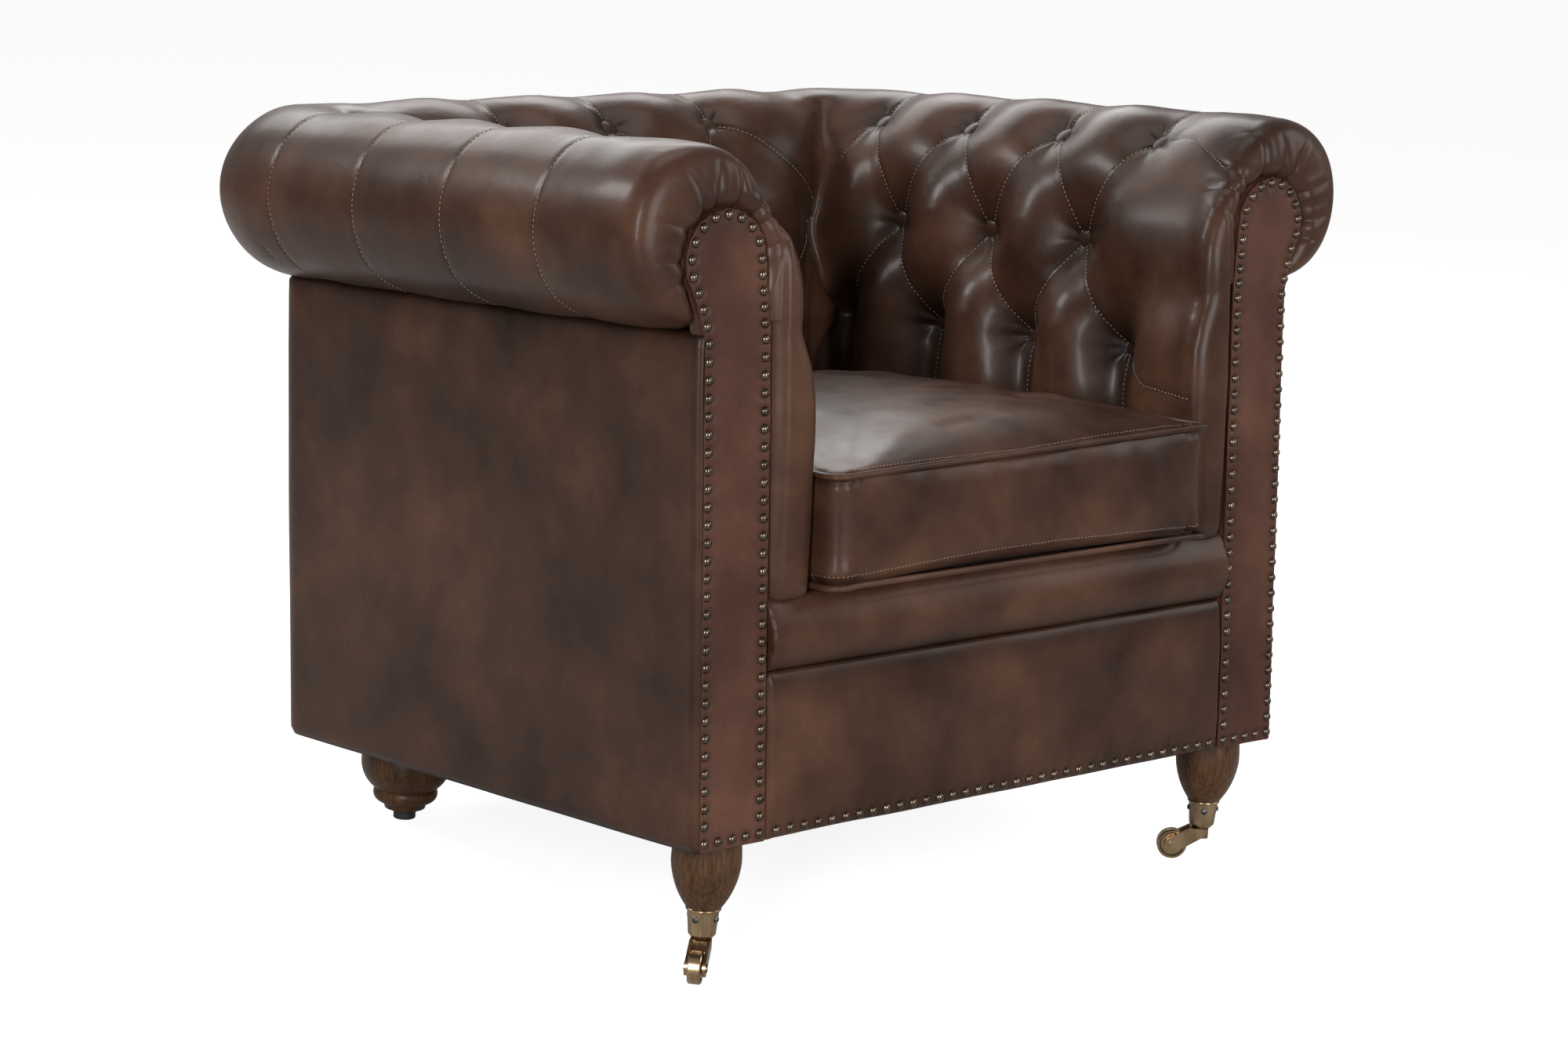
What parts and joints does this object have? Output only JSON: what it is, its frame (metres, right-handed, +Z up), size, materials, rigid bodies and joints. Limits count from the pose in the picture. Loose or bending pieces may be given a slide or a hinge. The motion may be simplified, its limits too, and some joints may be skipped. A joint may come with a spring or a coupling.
{
  "type": "chesterfield armchair",
  "caption": "Low armchair with rolled, button-tufted leather arms and back, loose boxed seat cushion, nailed facings, turned legs, and casters at the front.",
  "frame": {"origin": "middle of the floor under the chair, at the centre of its overall width and depth", "axes": "+Z up, +X to a viewer's right from the front, the front faces -Y"},
  "size_m": [0.928, 0.7808, 0.7555],
  "materials": {
    "leather": "glossy, hand-mottled dark brown",
    "facing_leather": "soft sheen, red-brown",
    "timber": "sawn, unfinished",
    "turned_wood": "dark stained, satin",
    "webbing": "woven",
    "lining": "matt",
    "nail_bronze": "antique bronze, polished tops",
    "brass": "antique, brushed",
    "steel": "zinc plated",
    "dark_steel": "darkened",
    "glide_black": "matt"
  },
  "bodies": {
    "chair": {"front_rail": "timber", "rear_rail": "timber", "back_rail": "timber", "back_stay": "timber", "border_rail": "timber", "side_rail_left": "timber", "side_rail_right": "timber", "front_post_left": "timber", "front_post_right": "timber", "rear_post_left": "timber", "rear_post_right": "timber", "arm_rail_left": "timber", "arm_rail_right": "timber", "side_stay_left": "timber", "side_stay_right": "timber", "frame_uprights": "timber", "corner_blocks": "timber", "seat_webbing": "webbing", "cross_webbing": "webbing", "deck_pad": "lining", "dust_cover": "lining", "facing_board_left": "timber", "facing_board_right": "timber", "facing_left": "facing_leather", "facing_right": "facing_leather", "outer_panel_left": "leather", "outer_panel_right": "leather", "outer_panel_back": "leather", "front_panel": "leather", "front_border": "leather", "arm_pad_left": "leather", "arm_pad_right": "leather", "back_pad": "leather", "arm_buttons_left": "leather", "arm_buttons_right": "leather", "back_buttons": "leather", "facing_nails_left": "nail_bronze", "facing_nails_right": "nail_bronze", "border_nails": "nail_bronze", "front_leg_left": "turned_wood", "front_leg_right": "turned_wood", "rear_foot_left": "turned_wood", "rear_foot_right": "turned_wood", "rear_glide_left": "glide_black", "rear_glide_right": "glide_black", "hanger_bolts": "steel", "cup_screws": "dark_steel", "caster_cup_left": "brass", "caster_cup_right": "brass"},
    "seat_cushion": {"seat_cushion": "leather", "cushion_piping": "leather"},
    "caster_left": {"caster_horn_left": "brass", "wheel_axle_left": "brass"},
    "wheel_left": {"caster_wheel_left": "brass"},
    "caster_right": {"caster_horn_right": "brass", "wheel_axle_right": "brass"},
    "wheel_right": {"caster_wheel_right": "brass"}
  },
  "joints": [
    {"name": "cushion_lift", "type": "slide", "parent": "chair", "child": "seat_cushion", "axis": [0, 0.0777, 0.997], "range_m": [0, 0.42]},
    {"name": "caster_swivel_left", "type": "hinge", "parent": "chair", "child": "caster_left", "pos_m": [-0.3333, -0.33773, 0.0343], "axis": [0, 0, 1], "continuous": true},
    {"name": "wheel_spin_left", "type": "hinge", "parent": "caster_left", "child": "wheel_left", "pos_m": [-0.35468, -0.35658, 0.015], "axis": [0.6613, -0.7501, 0], "continuous": true},
    {"name": "caster_swivel_right", "type": "hinge", "parent": "chair", "child": "caster_right", "pos_m": [0.3333, -0.33773, 0.0343], "axis": [0, 0, 1], "continuous": true},
    {"name": "wheel_spin_right", "type": "hinge", "parent": "caster_right", "child": "wheel_right", "pos_m": [0.31199, -0.31881, 0.015], "axis": [-0.6639, -0.7478, 0], "continuous": true}
  ]
}
